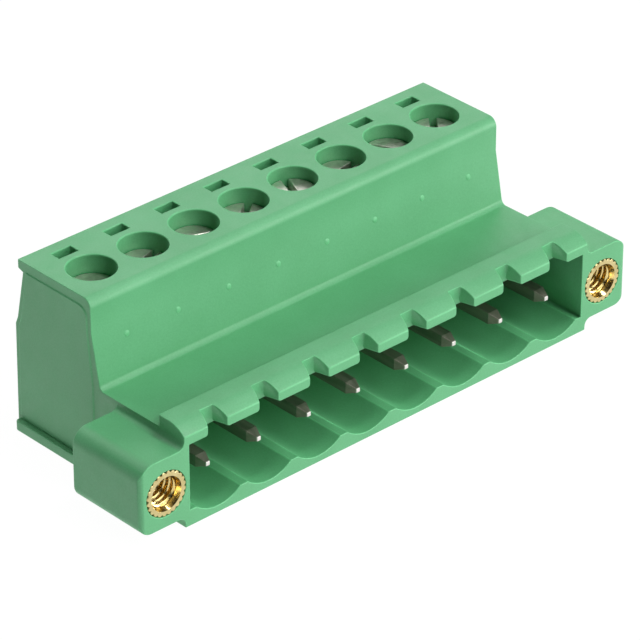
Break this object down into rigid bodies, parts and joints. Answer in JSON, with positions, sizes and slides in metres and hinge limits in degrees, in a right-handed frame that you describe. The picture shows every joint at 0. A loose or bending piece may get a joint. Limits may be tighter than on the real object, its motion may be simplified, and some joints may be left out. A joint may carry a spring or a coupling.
{
  "type": "pluggable terminal block",
  "caption": "Pluggable wire-to-board terminal block with a pin shroud at the front, a row of screw clamps on top, wire entries at the back and a threaded flange at each end.",
  "frame": {"origin": "centre of the footprint, on the underside", "axes": "+X along the row of poles, -Y out of the mating face, +Y out of the wire entries, +Z towards the screw heads"},
  "size_m": [0.051, 0.0196, 0.015],
  "materials": {
    "housing_plastic": "fine-textured moulded polyamide, green",
    "tinned_contact": "tin-plated copper alloy, dull",
    "plated_sleeve": "nickel-plated, satin",
    "plated_screw": "zinc-plated steel, satin",
    "insert_brass": "turned brass, bright thread"
  },
  "bodies": {
    "root": {"housing": "housing_plastic", "contact_1": "tinned_contact", "contact_2": "tinned_contact", "contact_3": "tinned_contact", "contact_4": "tinned_contact", "contact_5": "tinned_contact", "contact_6": "tinned_contact", "contact_7": "tinned_contact", "contact_8": "tinned_contact", "insert_left": "insert_brass", "insert_right": "insert_brass"},
    "screw_1": {"clamp_screw_1": "plated_screw"},
    "sleeve_1": {"clamping_sleeve_1": "plated_sleeve"},
    "screw_2": {"clamp_screw_2": "plated_screw"},
    "sleeve_2": {"clamping_sleeve_2": "plated_sleeve"},
    "screw_3": {"clamp_screw_3": "plated_screw"},
    "sleeve_3": {"clamping_sleeve_3": "plated_sleeve"},
    "screw_4": {"clamp_screw_4": "plated_screw"},
    "sleeve_4": {"clamping_sleeve_4": "plated_sleeve"},
    "screw_5": {"clamp_screw_5": "plated_screw"},
    "sleeve_5": {"clamping_sleeve_5": "plated_sleeve"},
    "screw_6": {"clamp_screw_6": "plated_screw"},
    "sleeve_6": {"clamping_sleeve_6": "plated_sleeve"},
    "screw_7": {"clamp_screw_7": "plated_screw"},
    "sleeve_7": {"clamping_sleeve_7": "plated_sleeve"},
    "screw_8": {"clamp_screw_8": "plated_screw"},
    "sleeve_8": {"clamping_sleeve_8": "plated_sleeve"}
  },
  "joints": [
    {"name": "screw_1_turn", "type": "hinge", "parent": "root", "child": "screw_1", "pos_m": [-0.01778, 0.00433, 0.01], "axis": [0, 0, -1], "range_deg": [0, 1728.5]},
    {"name": "sleeve_1_rise", "type": "slide", "parent": "root", "child": "sleeve_1", "axis": [0, 0, 1], "range_m": [0, 0.0024]},
    {"name": "screw_2_turn", "type": "hinge", "parent": "root", "child": "screw_2", "pos_m": [-0.0127, 0.00433, 0.01], "axis": [0, 0, -1], "range_deg": [0, 1728.5]},
    {"name": "sleeve_2_rise", "type": "slide", "parent": "root", "child": "sleeve_2", "axis": [0, 0, 1], "range_m": [0, 0.0024]},
    {"name": "screw_3_turn", "type": "hinge", "parent": "root", "child": "screw_3", "pos_m": [-0.00762, 0.00433, 0.01], "axis": [0, 0, -1], "range_deg": [0, 1728.5]},
    {"name": "sleeve_3_rise", "type": "slide", "parent": "root", "child": "sleeve_3", "axis": [0, 0, 1], "range_m": [0, 0.0024]},
    {"name": "screw_4_turn", "type": "hinge", "parent": "root", "child": "screw_4", "pos_m": [-0.00254, 0.00433, 0.01], "axis": [0, 0, -1], "range_deg": [0, 1728.5]},
    {"name": "sleeve_4_rise", "type": "slide", "parent": "root", "child": "sleeve_4", "axis": [0, 0, 1], "range_m": [0, 0.0024]},
    {"name": "screw_5_turn", "type": "hinge", "parent": "root", "child": "screw_5", "pos_m": [0.00254, 0.00433, 0.01], "axis": [0, 0, -1], "range_deg": [0, 1728.5]},
    {"name": "sleeve_5_rise", "type": "slide", "parent": "root", "child": "sleeve_5", "axis": [0, 0, 1], "range_m": [0, 0.0024]},
    {"name": "screw_6_turn", "type": "hinge", "parent": "root", "child": "screw_6", "pos_m": [0.00762, 0.00433, 0.01], "axis": [0, 0, -1], "range_deg": [0, 1728.5]},
    {"name": "sleeve_6_rise", "type": "slide", "parent": "root", "child": "sleeve_6", "axis": [0, 0, 1], "range_m": [0, 0.0024]},
    {"name": "screw_7_turn", "type": "hinge", "parent": "root", "child": "screw_7", "pos_m": [0.0127, 0.00433, 0.01], "axis": [0, 0, -1], "range_deg": [0, 1728.5]},
    {"name": "sleeve_7_rise", "type": "slide", "parent": "root", "child": "sleeve_7", "axis": [0, 0, 1], "range_m": [0, 0.0024]},
    {"name": "screw_8_turn", "type": "hinge", "parent": "root", "child": "screw_8", "pos_m": [0.01778, 0.00433, 0.01], "axis": [0, 0, -1], "range_deg": [0, 1728.5]},
    {"name": "sleeve_8_rise", "type": "slide", "parent": "root", "child": "sleeve_8", "axis": [0, 0, 1], "range_m": [0, 0.0024]}
  ],
  "couplings": [
    {"joint": "screw_1_turn", "follows": "sleeve_1_rise", "rad_per_m": 12566},
    {"joint": "screw_2_turn", "follows": "sleeve_2_rise", "rad_per_m": 12566},
    {"joint": "screw_3_turn", "follows": "sleeve_3_rise", "rad_per_m": 12566},
    {"joint": "screw_4_turn", "follows": "sleeve_4_rise", "rad_per_m": 12566},
    {"joint": "screw_5_turn", "follows": "sleeve_5_rise", "rad_per_m": 12566},
    {"joint": "screw_6_turn", "follows": "sleeve_6_rise", "rad_per_m": 12566},
    {"joint": "screw_7_turn", "follows": "sleeve_7_rise", "rad_per_m": 12566},
    {"joint": "screw_8_turn", "follows": "sleeve_8_rise", "rad_per_m": 12566}
  ]
}
